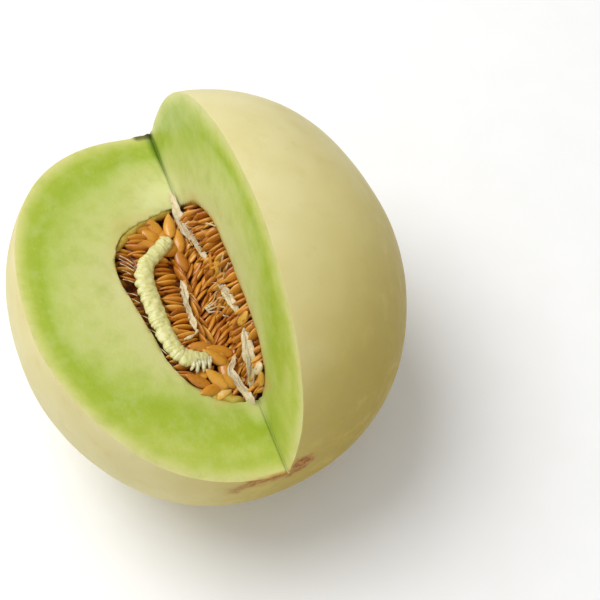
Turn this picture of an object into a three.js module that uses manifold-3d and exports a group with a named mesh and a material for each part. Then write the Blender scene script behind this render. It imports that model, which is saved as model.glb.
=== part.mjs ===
// A honeydew melon lying on its side, with one wedge cut out of it from stem to blossom end.
// The rind and flesh are one solid. The seeds, the loose ribbon of placenta and the strands
// between the seeds are pieces of their own that lie in the seed cavity.
//
// Millimetres, +Z up. The origin is the middle of the small flat spot that the melon rests on.
// Every piece is first made in the melon's own axes: the melon's long axis is Y with the stem
// end at +Y, Z is up, and the axis passes through the origin. The group then turns and lifts it.
import * as THREE from 'three';
import { mergeVertices } from 'three/addons/utils/BufferGeometryUtils.js';
import Module from 'manifold-3d';

const wasm = await Module();
wasm.setup();

// The melon's outside.
const RADIUS = 82;
const HALF_LENGTH = 81.9;
const HEADING = THREE.MathUtils.degToRad(25);
const STEM_FULLNESS = 2.27;
const BLOSSOM_FULLNESS = 1.67;
const END_BLUNTNESS = 2.63;
const FULLNESS_CHANGE = 0.4;
const OUT_OF_ROUND = 0.012;
const WIDEST_ANGLE = THREE.MathUtils.degToRad(61);
const REST_DEPTH = 1.4;
const MELON_RINGS = 28;
const MELON_SIDES = 56;

// The corky disc where the stem came off. Its profile is a share of its radius and a height
// from its raised lip, which stands a little proud of the rind.
const STEM_SCAR_RADIUS = 6;
const STEM_SCAR_HEIGHT = 0.6;
const STEM_SCAR_CENTRE = { x: 3, z: 6 };
const STEM_SCAR_PROFILE = [[0, -8], [0.8, -8], [1, -1.6], [0.75, 0], [0.45, -0.9], [0, -0.9]];
const STEM_SCAR_SIDES = 12;

// The wedge that was cut out. Angles turn from straight up towards -X, seen from the blossom
// end. The fold is the straight line where the two cut faces meet, given by its offset from
// the melon's axis at each end.
const LEFT_FACE_ANGLE = THREE.MathUtils.degToRad(67);
const RIGHT_FACE_ANGLE = THREE.MathUtils.degToRad(-12.9);
const FOLD_AT_STEM = { x: 7.6, z: 7.7 };
const FOLD_AT_BLOSSOM = { x: -1.7, z: -1.9 };

// The seed cavity, an egg round the melon's core, fuller towards the stem. It slants, so its
// upper part lies nearer the blossom end.
const CAVITY_RADIUS = 34.9;
const CAVITY_HALF_LENGTH = 47.9;
const CAVITY_CENTRE = { x: -0.2, y: -1, z: -1.6 };
const CAVITY_FULLNESS = 3.8;
const CAVITY_SKEW = 0.22;
const CAVITY_SLANT = { x: -0.06, z: -0.31 };
const CAVITY_RINGS = 18;
const CAVITY_SIDES = 36;
const CAVITY_LEAST_SHARE = 0.2;

// The clearance that every piece keeps to the next.
const CLEARANCE = 0.3;

// A seed, a flat teardrop.
const SEED_LENGTH = 10.5;
const SEED_WIDTH = 4.6;
const SEED_THICKNESS = 2.2;
const SEED_PROFILE = [[0, -1], [0.36, -0.35], [0.47, 0.4], [0, 1]];
const SEED_SIDES = 6;

// How much each seed of a row strays: degrees of turn and rise, then roll, millimetres of
// reach and depth, and shares of its length and of the pitch to the next.
const STRAY = { turn: 9, rise: 9, roll: 0.35, reach: 0.8, depth: 0.5, length: 0.1, pitch: 0.15 };
const SEED_ROOM = 1.5;

// A seed that lies flat tips up a little at its outer end and rolls on its edge.
const FLAT_SEED = { rise: 0.2, roll: 0.5, stretch: 1.1 };

const COLOURS = {
  flesh: 0xbfd07c,
  seed: 0xc87a2e,
  ribbon: 0xdcdc96,
  strand: 0xdecda5,
};

// Past the rind in every direction, and the distance at which two corners are one.
const FAR = 130;
const PAST_ENDS = 1.2;
const WELD = 1e-4;

// ---------------------------------------------------------------- helpers

// The same draw every time: a small linear congruential generator.
function makeRandom(seed) {
  let state = seed;
  return (low, high) => {
    state = (state * 1103515245 + 12345) % 2147483648;
    return low + (high - low) * (state / 2147483648);
  };
}

// A closed three.js geometry as a solid that can be cut and joined.
function solid(geometry) {
  const bare = new THREE.BufferGeometry();
  bare.setAttribute('position', geometry.getAttribute('position'));
  bare.setIndex(geometry.getIndex());
  const merged = mergeVertices(bare, WELD);
  const index = merged.getIndex().array;
  const corners = [];
  for (let i = 0; i < index.length; i += 3) {
    const [a, b, c] = [index[i], index[i + 1], index[i + 2]];
    if (a !== b && b !== c && c !== a) corners.push(a, b, c);
  }
  return new wasm.Manifold(new wasm.Mesh({
    numProp: 3,
    vertProperties: new Float32Array(merged.getAttribute('position').array),
    triVerts: new Uint32Array(corners),
  }));
}

// The largest body of a solid. Loose scraps and closed hollows are left behind.
function mainBody(shape) {
  const bodies = shape.decompose();
  return bodies.reduce((best, body) => (body.volume() > best.volume() ? body : best));
}

function toMesh(shape, name, colour, roughness) {
  const { vertProperties, triVerts } = shape.getMesh();
  const geometry = new THREE.BufferGeometry();
  geometry.setAttribute('position', new THREE.BufferAttribute(vertProperties, 3));
  geometry.setIndex(new THREE.BufferAttribute(triVerts, 1));
  geometry.computeVertexNormals();
  const material = new THREE.MeshStandardMaterial({ color: colour, roughness, metalness: 0 });
  const mesh = new THREE.Mesh(geometry, material);
  mesh.name = name;
  return mesh;
}

// A body swept along a smooth curve. size(u) gives its half width and half height.
function sweep({ points, rings, sides, up, size }) {
  const curve = new THREE.CatmullRomCurve3(points, false, 'centripetal');
  const positions = [];
  for (let i = 0; i < rings; i += 1) {
    const u = i / (rings - 1);
    const centre = curve.getPointAt(u);
    const tangent = curve.getTangentAt(u);
    const side = new THREE.Vector3().crossVectors(tangent, up).normalize();
    const lift = new THREE.Vector3().crossVectors(side, tangent);
    const [halfWidth, halfHeight] = size(u);
    for (let k = 0; k < sides; k += 1) {
      const turn = (2 * Math.PI * k) / sides;
      const point = centre.clone()
        .addScaledVector(side, halfWidth * Math.cos(turn))
        .addScaledVector(lift, halfHeight * Math.sin(turn));
      positions.push(...point.toArray());
    }
  }
  const firstCap = positions.length / 3;
  positions.push(...curve.getPointAt(0).toArray(), ...curve.getPointAt(1).toArray());
  const index = [];
  for (let k = 0; k < sides; k += 1) {
    const next = (k + 1) % sides;
    for (let i = 0; i < rings - 1; i += 1) {
      const [a, b] = [i * sides + k, i * sides + next];
      index.push(a, b + sides, b, a, a + sides, b + sides);
    }
    const last = (rings - 1) * sides;
    index.push(firstCap, k, next, firstCap + 1, last + next, last + k);
  }
  const geometry = new THREE.BufferGeometry();
  geometry.setAttribute('position', new THREE.Float32BufferAttribute(positions, 3));
  geometry.setIndex(index);
  return geometry;
}

// ---------------------------------------------------------------- the fold and the cut faces

// The fold's offset from the melon's axis at a distance y along it.
function foldAt(y) {
  const share = (y + HALF_LENGTH) / (2 * HALF_LENGTH);
  return new THREE.Vector3(
    THREE.MathUtils.lerp(FOLD_AT_BLOSSOM.x, FOLD_AT_STEM.x, share),
    y,
    THREE.MathUtils.lerp(FOLD_AT_BLOSSOM.z, FOLD_AT_STEM.z, share),
  );
}

// Slides an outline extruded straight along Y so that it follows the fold.
function alongFold(geometry) {
  const middle = foldAt(0);
  const slopeX = (FOLD_AT_STEM.x - FOLD_AT_BLOSSOM.x) / (2 * HALF_LENGTH);
  const slopeZ = (FOLD_AT_STEM.z - FOLD_AT_BLOSSOM.z) / (2 * HALF_LENGTH);
  return geometry.applyMatrix4(new THREE.Matrix4().set(
    1, slopeX, 0, middle.x,
    0, 1, 0, 0,
    0, slopeZ, 1, middle.z,
    0, 0, 0, 1,
  ));
}

// A cut face as directions: out runs in the face away from the fold, and up stands on the
// face, out of the fruit.
function cutFace(angle, side) {
  const out = new THREE.Vector3(-Math.sin(angle), 0, Math.cos(angle));
  const up = new THREE.Vector3(side * Math.cos(angle), 0, side * Math.sin(angle));
  const along = foldAt(1).sub(foldAt(0)).normalize();
  return {
    out,
    up,
    along,
    // A point a distance reach from the fold and depth below the cut face.
    point(y, reach, depth) {
      return foldAt(y).addScaledVector(out, reach).addScaledVector(up, -depth);
    },
  };
}

const leftFace = cutFace(LEFT_FACE_ANGLE, 1);
const rightFace = cutFace(RIGHT_FACE_ANGLE, -1);

// An outline in the cross-section, extruded along the fold from end to end.
function foldPrism(outline) {
  const flat = outline.map((point) => new THREE.Vector2(point.x, point.z));
  const length = 2 * PAST_ENDS * HALF_LENGTH;
  const geometry = new THREE.ExtrudeGeometry(new THREE.Shape(flat), {
    depth: length,
    bevelEnabled: false,
  });
  geometry.translate(0, 0, -length / 2);
  geometry.rotateX(Math.PI / 2);
  return solid(alongFold(geometry));
}

// A point of a cross-section outline, measured from the fold.
function sectionPoint(face, reach, depth) {
  return new THREE.Vector3().addScaledVector(face.out, reach).addScaledVector(face.up, -depth);
}

// ---------------------------------------------------------------- melon

function melonRadius(s) {
  const change = Math.tanh(s / FULLNESS_CHANGE);
  const middle = (STEM_FULLNESS + BLOSSOM_FULLNESS) / 2;
  const fullness = middle + change * (STEM_FULLNESS - middle);
  return RADIUS * Math.max(0, 1 - Math.abs(s) ** fullness) ** (1 / END_BLUNTNESS);
}

function melonOutside() {
  const profile = [];
  for (let i = 0; i <= MELON_RINGS; i += 1) {
    const s = -Math.cos((Math.PI * i) / MELON_RINGS);
    const atPole = i === 0 || i === MELON_RINGS;
    profile.push(new THREE.Vector2(atPole ? 0 : melonRadius(s), HALF_LENGTH * s));
  }
  const geometry = new THREE.LatheGeometry(profile, MELON_SIDES);
  geometry.rotateY(WIDEST_ANGLE);
  geometry.scale(1 + OUT_OF_ROUND, 1, 1 - OUT_OF_ROUND);
  geometry.rotateY(-WIDEST_ANGLE);
  return solid(geometry);
}

// The cavity's radius at a share s of its half length from its middle, stem end positive.
function cavityRadius(s) {
  const round = Math.sqrt(Math.max(0, 1 - Math.abs(s) ** CAVITY_FULLNESS));
  return CAVITY_RADIUS * round * (1 + CAVITY_SKEW * s);
}

function cavityEgg(clearance) {
  const profile = [];
  for (let i = 0; i <= CAVITY_RINGS; i += 1) {
    const s = -Math.cos((Math.PI * i) / CAVITY_RINGS);
    const radius = cavityRadius(s);
    const atPole = i === 0 || i === CAVITY_RINGS;
    profile.push(new THREE.Vector2(
      atPole ? 0 : Math.max(radius - clearance, CAVITY_LEAST_SHARE * radius),
      (CAVITY_HALF_LENGTH - clearance) * s,
    ));
  }
  const geometry = new THREE.LatheGeometry(profile, CAVITY_SIDES);
  geometry.applyMatrix4(new THREE.Matrix4().set(
    1, 0, 0, CAVITY_CENTRE.x,
    CAVITY_SLANT.x, 1, CAVITY_SLANT.z, CAVITY_CENTRE.y,
    0, 0, 1, CAVITY_CENTRE.z,
    0, 0, 0, 1,
  ));
  return solid(geometry);
}

// How far inside the cavity's wall a point lies, measured across the melon.
function cavityRoom(point) {
  const [x, z] = [point.x - CAVITY_CENTRE.x, point.z - CAVITY_CENTRE.z];
  const y = point.y - CAVITY_CENTRE.y - CAVITY_SLANT.x * x - CAVITY_SLANT.z * z;
  return cavityRadius(y / CAVITY_HALF_LENGTH) - Math.hypot(x, z);
}

function stemScar() {
  const lip = HALF_LENGTH + STEM_SCAR_HEIGHT;
  const profile = STEM_SCAR_PROFILE.map(([share, height]) => (
    new THREE.Vector2(share * STEM_SCAR_RADIUS, lip + height)
  ));
  const geometry = new THREE.LatheGeometry(profile, STEM_SCAR_SIDES);
  geometry.translate(STEM_SCAR_CENTRE.x, 0, STEM_SCAR_CENTRE.z);
  return solid(geometry);
}

function wedge() {
  const origin = new THREE.Vector3();
  return foldPrism([origin, sectionPoint(rightFace, FAR, 0), sectionPoint(leftFace, FAR, 0)]);
}

function melon() {
  const whole = melonOutside().add(stemScar());
  const floor = whole.boundingBox().min[2] + REST_DEPTH;
  const ground = new THREE.BoxGeometry(2 * FAR, 2 * FAR, FAR);
  ground.translate(0, 0, floor - FAR / 2);
  const body = whole.subtract(wedge()).subtract(cavityEgg(0)).subtract(solid(ground));
  return { body: mainBody(body), floor };
}

// ---------------------------------------------------------------- seeds

function seedAt(centre, lengthways, widthways, stretch) {
  const profile = SEED_PROFILE.map(([radius, height]) => new THREE.Vector2(radius, height));
  const geometry = new THREE.LatheGeometry(profile, SEED_SIDES);
  geometry.scale(SEED_WIDTH, (stretch * SEED_LENGTH) / 2, SEED_THICKNESS);
  const y = lengthways.clone().normalize();
  const z = new THREE.Vector3().crossVectors(widthways, y).normalize();
  const x = new THREE.Vector3().crossVectors(y, z);
  geometry.applyMatrix4(new THREE.Matrix4().makeBasis(x, y, z).setPosition(centre));
  return solid(geometry);
}

// One row of seeds stacked like cards along the fold. yaw turns them towards the stem end at
// their outer tip, and lift raises that tip from the face.
function seedRow(row, random) {
  const seeds = [];
  const { face, reach, depth, yaw, lift, from, to, pitch } = row;
  const stray = (name) => random(-STRAY[name], STRAY[name]);
  for (let y = from + random(0, pitch); y < to; y += pitch * (1 + stray('pitch'))) {
    if (cavityRoom(face.point(y, reach, depth)) < SEED_ROOM) continue;
    const turn = THREE.MathUtils.degToRad(yaw + stray('turn'));
    const rise = THREE.MathUtils.degToRad(lift + stray('rise'));
    const lengthways = new THREE.Vector3()
      .addScaledVector(face.out, Math.cos(rise) * Math.cos(turn))
      .addScaledVector(face.along, Math.cos(rise) * Math.sin(turn))
      .addScaledVector(face.up, Math.sin(rise));
    const widthways = new THREE.Vector3()
      .addScaledVector(face.up, Math.cos(rise))
      .addScaledVector(face.out, -Math.sin(rise))
      .addScaledVector(face.along, stray('roll'));
    const centre = face.point(y, reach + stray('reach'), depth + stray('depth'));
    seeds.push(seedAt(centre, lengthways, widthways, 1 + stray('length')));
  }
  return seeds;
}

// Seeds that lie flat on the pulp, each given by its place and heading.
function flatSeed(face, [y, reach, depth, heading]) {
  const turn = THREE.MathUtils.degToRad(heading);
  const lengthways = new THREE.Vector3()
    .addScaledVector(face.out, Math.cos(turn))
    .addScaledVector(face.along, Math.sin(turn))
    .addScaledVector(face.up, FLAT_SEED.rise);
  const widthways = new THREE.Vector3()
    .crossVectors(lengthways, face.up)
    .addScaledVector(face.up, FLAT_SEED.roll);
  return seedAt(face.point(y, reach, depth), lengthways, widthways, FLAT_SEED.stretch);
}

const LEFT_ROWS = [
  { face: leftFace, reach: 11.6, depth: 2, yaw: 82, lift: 0, from: -24, to: 20, pitch: 7.5 },
  { face: leftFace, reach: 18.6, depth: 1.6, yaw: 8, lift: 4, from: -22, to: 22, pitch: 3 },
  { face: leftFace, reach: 25, depth: 2.4, yaw: 14, lift: 6, from: -34, to: 32, pitch: 4.4 },
  { face: leftFace, reach: 32, depth: 5.2, yaw: 18, lift: 12, from: -14, to: 32, pitch: 3.8 },
];
const LEFT_FLAT = [
  [41, 11.6, 2.4, 20], [35, 9.4, 2, 95], [29, 9.4, 2.8, 80], [23, 11, 2.6, 60],
  [39, 18, 2.6, 35], [35, 24, 2.8, 50], [37, 13.5, 2, 10], [33, 15, 2.2, 40],
  [-23, 14.4, 2.4, 15], [-27, 11, 2.6, 165], [-32, 15, 1.8, 40], [-36, 21, 2.6, 150],
  [-34, 26, 3, 110], [-41, 17, 2.8, 20], [-42, 11, 2.6, 80], [-38, 12, 2, 130],
];
const RIGHT_ROWS = [
  { face: leftFace, reach: 5.4, depth: 3.1, yaw: 140, lift: 12, from: -44, to: 40, pitch: 3.9 },
  { face: leftFace, reach: 1, depth: 1.8, yaw: 145, lift: 28, from: -48, to: 41, pitch: 3.9 },
  { face: rightFace, reach: 4.5, depth: 3.8, yaw: 30, lift: -50, from: -48, to: 41, pitch: 4.4 },
  { face: rightFace, reach: 11, depth: 4.4, yaw: 14, lift: -62, from: -50, to: 38, pitch: 3.6 },
  { face: rightFace, reach: 18, depth: 4.6, yaw: 14, lift: -66, from: -49, to: 34, pitch: 3.6 },
  { face: rightFace, reach: 25, depth: 4.8, yaw: 14, lift: -68, from: -44, to: 28, pitch: 3.6 },
];
const RIGHT_FLAT = [[-44, 6, 3.4, 30], [-38, 14, 4, 60], [41, 4, 3.4, 75]];

// ---------------------------------------------------------------- ribbon and strands

// The ribbon's route and its fingers, as distance along the melon and reach from the fold.
const RIBBON_ROUTE = [
  [29.5, 11], [26, 15.4], [22.6, 21], [19, 25.8], [14, 28.2], [8, 29.4], [0, 29.6],
  [-8, 29.2], [-15, 28.6], [-21, 27.6], [-25, 24.6], [-27.4, 20], [-28.6, 15],
];
const RIBBON_HALF_WIDTH = 3.9;
const RIBBON_HALF_HEIGHT = 2.4;
const RIBBON_SIDES = 10;
const RIBBON_LIFT = 1;
const RIBBON_ENDS = { start: 0.62, startGrowth: 2, end: 0.6, endGrowth: 4 };
const RIBS = 26;
const RIB_RELIEF = 0.12;
const FINGER_TIPS = [[-32, 22.5], [-32.6, 20.5], [-32.6, 18.5], [-32.8, 16.6], [-32.4, 14.8]];
const FINGER_ROOT = -27.4;
const FINGER_ARCH = 0.3;
const FINGER_DROOP = 0.6;
const FINGER_SIZE = { width: 0.9, height: 0.8, widthTaper: 0.4, heightTaper: 0.3 };
const FINGER_RINGS = 4;
const FINGER_SIDES = 5;

function ribbonFinger(y, reach, clearance) {
  const { width, height, widthTaper, heightTaper } = FINGER_SIZE;
  return solid(sweep({
    points: [
      leftFace.point(FINGER_ROOT, reach, -RIBBON_LIFT),
      leftFace.point((y + FINGER_ROOT) / 2, reach, -RIBBON_LIFT - FINGER_ARCH),
      leftFace.point(y, reach, -RIBBON_LIFT + FINGER_DROOP),
    ],
    rings: FINGER_RINGS,
    sides: FINGER_SIDES,
    up: leftFace.up,
    size: (u) => [width - widthTaper * u + clearance, height - heightTaper * u + clearance],
  }));
}

function placentaRibbon(clearance) {
  const { start, startGrowth, end, endGrowth } = RIBBON_ENDS;
  const ribbon = solid(sweep({
    points: RIBBON_ROUTE.map(([y, reach]) => leftFace.point(y, reach, -RIBBON_LIFT)),
    rings: 2 * RIBS + 1,
    sides: RIBBON_SIDES,
    up: leftFace.up,
    size(u) {
      const taper = Math.min(1, start + startGrowth * u, end + endGrowth * (1 - u));
      const rib = Math.round(u * 2 * RIBS) % 2 === 0 ? 1 - RIB_RELIEF : 1;
      return [
        RIBBON_HALF_WIDTH * taper * rib + clearance,
        RIBBON_HALF_HEIGHT * Math.sqrt(taper) * rib + clearance,
      ];
    },
  }));
  return FINGER_TIPS.reduce(
    (body, [y, reach]) => body.add(ribbonFinger(y, reach, clearance)),
    ribbon,
  );
}

// Each strand: the face it lies on, its points as distance along the melon, reach from the
// fold and depth, and its half width.
const STRANDS = {
  strand_stem_end: {
    face: leftFace,
    route: [[41, 2.3, -0.6], [35, 2, -1], [29, 1.6, -1.6], [23, 1.4, -2.2], [15, 0.6, -2.6]],
    halfWidth: 2.2,
  },
  strand_left_bank: {
    face: leftFace,
    route: [[9.5, 11.8, 0], [1.4, 13.4, -0.6], [-4, 13.6, -0.6], [-9, 13, -0.2], [-15, 12.4, 0]],
    halfWidth: 1,
  },
  strand_middle: {
    face: rightFace,
    route: [[2, 9, -1.2], [-5, 10, -1.8], [-12, 14.6, -1.6], [-19, 17, -0.8]],
    halfWidth: 1.5,
  },
  strand_blossom_end: {
    face: rightFace,
    route: [[-23, 12.6, -1.6], [-28.5, 8.8, -1.8], [-35, 8.6, -1.6], [-41, 5, -1]],
    halfWidth: 2.6,
  },
};
const STRAND_HALF_HEIGHT = 0.8;
const STRAND_END_SHARE = 0.4;
const STRAND_TAPER_FROM = 0.1;
const STRAND_RINGS = 11;
const STRAND_SIDES = 6;

function strand({ face, route, halfWidth }, clearance) {
  return solid(sweep({
    points: route.map(([y, reach, depth]) => face.point(y, reach, depth)),
    rings: STRAND_RINGS,
    sides: STRAND_SIDES,
    up: face.up,
    size(u) {
      const share = STRAND_TAPER_FROM + (1 - 2 * STRAND_TAPER_FROM) * u;
      const taper = STRAND_END_SHARE + (1 - STRAND_END_SHARE) * Math.sin(Math.PI * share);
      return [halfWidth * taper + clearance, STRAND_HALF_HEIGHT * taper + clearance];
    },
  }));
}

// ---------------------------------------------------------------- banks of seeds

// The furrow between the two banks: its foot in each bank, as reach from the fold and depth
// below the left face, and the slope of the plane below it that parts them.
const FURROW_DEPTH = 7;
const LEFT_FURROW = 8.6;
const RIGHT_FURROW = 8.1;
const PULP_PARTING = 0.51;

// The pulp of the left bank stops short of the cavity's wall, below the ribbon, and dips
// into the furrow that parts it from the right bank.
function leftPulp() {
  return foldPrism([
    sectionPoint(leftFace, LEFT_FURROW, FURROW_DEPTH),
    sectionPoint(leftFace, 11, 4),
    sectionPoint(leftFace, 15, 3.2),
    sectionPoint(leftFace, 29, 4),
    sectionPoint(leftFace, 33, 7.5),
    sectionPoint(leftFace, FAR, 7.5),
    new THREE.Vector3(-FAR, 0, -FAR),
    new THREE.Vector3(PULP_PARTING * FAR, 0, -FAR),
  ]);
}

// The pulp of the right bank fills the corner at the fold and rises along the right face.
function rightPulp() {
  return foldPrism([
    sectionPoint(leftFace, RIGHT_FURROW, FURROW_DEPTH),
    new THREE.Vector3(PULP_PARTING * FAR + 2 * CLEARANCE, 0, -FAR),
    new THREE.Vector3(FAR, 0, -FAR),
    sectionPoint(rightFace, FAR, 5.6),
    sectionPoint(rightFace, 12, 5.4),
    sectionPoint(rightFace, 5, 5.2),
    new THREE.Vector3(1.3, 0, -2.6),
    sectionPoint(leftFace, 5, 5),
  ]);
}

const seedSpace = cavityEgg(CLEARANCE);
const overlays = Object.values(STRANDS).map((entry) => strand(entry, CLEARANCE));
overlays.push(placentaRibbon(CLEARANCE));

// A bank is its pulp with its seeds, clear of the cavity's wall and of what lies on it.
function seedBank({ pulp, face, rows, flat, seed, keep }) {
  const random = makeRandom(seed);
  const seeds = rows.flatMap((row) => seedRow(row, random));
  seeds.push(...flat.map((place) => flatSeed(face, place)));
  const core = pulp.intersect(seedSpace);
  const joined = seeds.reduce((body, one) => body.add(one), core).intersect(seedSpace);
  return mainBody(overlays.reduce((body, piece) => body.subtract(piece), joined).intersect(keep));
}

// The space of one bank, bounded by the furrow, so that no seed of one reaches into the other.
const SIDE_ABOVE = -0.2;
const SIDE_BELOW = 0.57;

function bankSide(side) {
  const foot = sectionPoint(leftFace, side < 0 ? LEFT_FURROW : RIGHT_FURROW, FURROW_DEPTH);
  const top = foot.clone().add(new THREE.Vector3(SIDE_ABOVE * FAR, 0, FAR));
  const bottom = foot.clone().add(new THREE.Vector3(SIDE_BELOW * FAR, 0, -FAR));
  const corner = new THREE.Vector3(side * 2 * FAR, 0, 0);
  return foldPrism(side < 0
    ? [foot, top, corner, bottom]
    : [foot, bottom, corner, top]);
}

// ---------------------------------------------------------------- the whole melon

const { body, floor } = melon();

const leftBank = seedBank({
  pulp: leftPulp(),
  face: leftFace,
  rows: LEFT_ROWS,
  flat: LEFT_FLAT,
  seed: 11,
  keep: bankSide(-1),
});

const rightBank = seedBank({
  pulp: rightPulp(),
  face: rightFace,
  rows: RIGHT_ROWS,
  flat: RIGHT_FLAT,
  seed: 29,
  keep: bankSide(1),
});

const group = new THREE.Group();
group.add(toMesh(body, 'melon', COLOURS.flesh, 0.45));
group.add(toMesh(leftBank, 'seeds_left_bank', COLOURS.seed, 0.35));
group.add(toMesh(rightBank, 'seeds_right_bank', COLOURS.seed, 0.35));
group.add(toMesh(mainBody(placentaRibbon(0)), 'placenta_ribbon', COLOURS.ribbon, 0.4));
for (const [name, entry] of Object.entries(STRANDS)) {
  group.add(toMesh(strand(entry, 0), name, COLOURS.strand, 0.4));
}
group.rotation.z = HEADING;
group.position.z = -floor;

export default group;
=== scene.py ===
"""The looks of a honeydew melon with one wedge cut out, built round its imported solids.

Shapes are worked out in millimetres in the melon's own axes: Y is its long axis with the stem
end at +Y, Z is up, and the axis passes through the origin. to_row then turns them by the
melon's heading, lifts them onto the floor and scales them to metres.
"""
import math
from collections import namedtuple

import bpy
import numpy as np
from mathutils import Matrix, Vector, noise


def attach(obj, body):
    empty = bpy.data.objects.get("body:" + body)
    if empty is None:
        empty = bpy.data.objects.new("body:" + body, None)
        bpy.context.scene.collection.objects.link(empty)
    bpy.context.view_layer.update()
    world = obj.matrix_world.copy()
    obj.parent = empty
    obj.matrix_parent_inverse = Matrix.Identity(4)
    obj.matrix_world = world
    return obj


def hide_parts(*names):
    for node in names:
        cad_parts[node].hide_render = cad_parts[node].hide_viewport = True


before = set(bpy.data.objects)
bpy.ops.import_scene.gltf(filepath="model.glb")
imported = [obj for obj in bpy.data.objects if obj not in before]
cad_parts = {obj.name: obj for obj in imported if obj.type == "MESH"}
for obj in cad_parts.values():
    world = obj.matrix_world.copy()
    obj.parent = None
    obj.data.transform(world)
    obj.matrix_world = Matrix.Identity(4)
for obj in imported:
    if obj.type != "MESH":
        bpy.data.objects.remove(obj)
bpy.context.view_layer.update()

MM = 0.001

# -------- the melon's sizes, in mm

RADIUS = 82.0
HALF_LENGTH = 81.9
AXIS_HEIGHT = 81.12
HEADING = math.radians(25)
STEM_FULLNESS = 2.27
BLOSSOM_FULLNESS = 1.67
END_BLUNTNESS = 2.63
FULLNESS_CHANGE = 0.4
OUT_OF_ROUND = 0.012
WIDEST_ANGLE = math.radians(61)
STEM_SCAR_CENTRE = (3.0, 6.0)
STEM_SCAR_RADIUS = 6.0

LEFT_FACE_ANGLE = math.radians(67)
RIGHT_FACE_ANGLE = math.radians(-12.9)
FOLD_AT_STEM = np.array([7.6, HALF_LENGTH, 7.7])
FOLD_AT_BLOSSOM = np.array([-1.7, -HALF_LENGTH, -1.9])

CAVITY_RADIUS = 34.9
CAVITY_HALF_LENGTH = 47.9
CAVITY_CENTRE = np.array([-0.2, -1.0, -1.6])
CAVITY_FULLNESS = 3.8
CAVITY_SKEW = 0.22
CAVITY_SLANT = (-0.06, -0.31)

SEED_LENGTH = 10.5
SEED_WIDTH = 4.7
SEED_THICKNESS = 1.9

# -------- camera

CAMERA_ELEVATION = math.radians(63.13)
CAMERA_DISTANCE = 0.600
CAMERA_LENS = 86.5
CAMERA_CLIP_START = 0.01
SENSOR = 36.0
MELON_IN_VIEW = (-0.03756, -0.00056)


def add_object(name, data):
    made = bpy.data.objects.new(name, data)
    bpy.context.scene.collection.objects.link(made)
    return made


def add_camera():
    """The photograph's view: from the front, high up, with the melon left of the middle."""
    right = Vector((1, 0, 0))
    up = Vector((0, math.sin(CAMERA_ELEVATION), math.cos(CAMERA_ELEVATION)))
    towards = Vector((0, -math.cos(CAMERA_ELEVATION), math.sin(CAMERA_ELEVATION)))
    middle = Vector((0, 0, AXIS_HEIGHT * MM))
    data = bpy.data.cameras.new("camera")
    data.sensor_width = SENSOR
    data.lens = CAMERA_LENS
    data.clip_start = CAMERA_CLIP_START
    camera = add_object("camera", data)
    camera.location = (
        middle
        - right * MELON_IN_VIEW[0]
        - up * MELON_IN_VIEW[1]
        + towards * CAMERA_DISTANCE
    )
    camera.rotation_euler = (math.pi / 2 - CAMERA_ELEVATION, 0, 0)
    bpy.context.scene.camera = camera


# -------- meshes


def to_row():
    lift = Matrix.Translation((0, 0, AXIS_HEIGHT * MM))
    return lift @ Matrix.Rotation(HEADING, 4, "Z") @ Matrix.Scale(MM, 4)


def make_mesh(name, points, faces, tones=None):
    """A mesh object in millimetres in the melon's axes. tones is one number a vertex."""
    mesh = bpy.data.meshes.new(name)
    mesh.from_pydata(np.asarray(points, float).tolist(), [], [tuple(f) for f in faces])
    mesh.validate()
    if tones is not None:
        add_values(mesh, "tone", tones)
    return add_object(name, mesh)


def add_values(mesh, name, values):
    """Keeps one number a vertex under a name that the materials read."""
    entry = mesh.attributes.new(name, "FLOAT", "POINT")
    entry.data.foreach_set("value", np.asarray(values, np.float32))


def coordinates(mesh):
    points = np.empty(len(mesh.vertices) * 3, np.float32)
    mesh.vertices.foreach_get("co", points)
    return points.reshape(-1, 3).astype(float)


def finish_piece(piece, slot, *nodes):
    """Keeps each point's place in mm as an attribute, and puts the piece into the row frame."""
    mesh = piece.data
    points = coordinates(mesh)
    place = mesh.attributes.new("melon_mm", "FLOAT_VECTOR", "POINT")
    place.data.foreach_set("vector", points.astype(np.float32).ravel())
    mesh.transform(to_row())
    mesh.polygons.foreach_set("use_smooth", [True] * len(mesh.polygons))
    mesh.update()
    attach(piece, "root")
    if nodes:
        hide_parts(*nodes)


def grid_faces(rows, columns, flip=False):
    """Quads between rings of points."""
    r, c = np.meshgrid(np.arange(rows - 1), np.arange(columns), indexing="ij")
    a = (r * columns + c).ravel()
    b = (r * columns + (c + 1) % columns).ravel()
    quads = np.stack([a, b, b + columns, a + columns], 1)
    return (quads[:, ::-1] if flip else quads).tolist()


def tube_faces(rows, columns, flip=True):
    """Quads between rings of points, and a cap at each end."""
    first = tuple(range(columns))
    last = tuple(range((rows - 1) * columns, rows * columns))
    caps = [first, last[::-1]] if flip else [first[::-1], last]
    return grid_faces(rows, columns, flip) + caps


def lumps(points, size, seed):
    """Smooth noise from -1 to 1 at each point, with lumps about that size in mm."""
    shift = Vector((seed * 7.3, seed * 3.1, seed * 5.7))
    return np.array([noise.noise(Vector(p) / size + shift) for p in points])


def relief(points, *layers, base=0):
    """Noise added up on a base. A layer is its height, the size of its lumps and a seed."""
    return sum((height * lumps(points, size, seed) for height, size, seed in layers), base)


def smooth_step(x, low, high):
    t = np.clip((x - low) / (high - low), 0, 1)
    return t * t * (3 - 2 * t)


def fade(x, low, high):
    """1 below low, 0 above high, and smooth between."""
    return 1 - smooth_step(x, low, high)


def from_middle(points):
    """The direction of each point from the melon's middle."""
    return points / np.linalg.norm(points, axis=1)[:, None]


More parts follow.
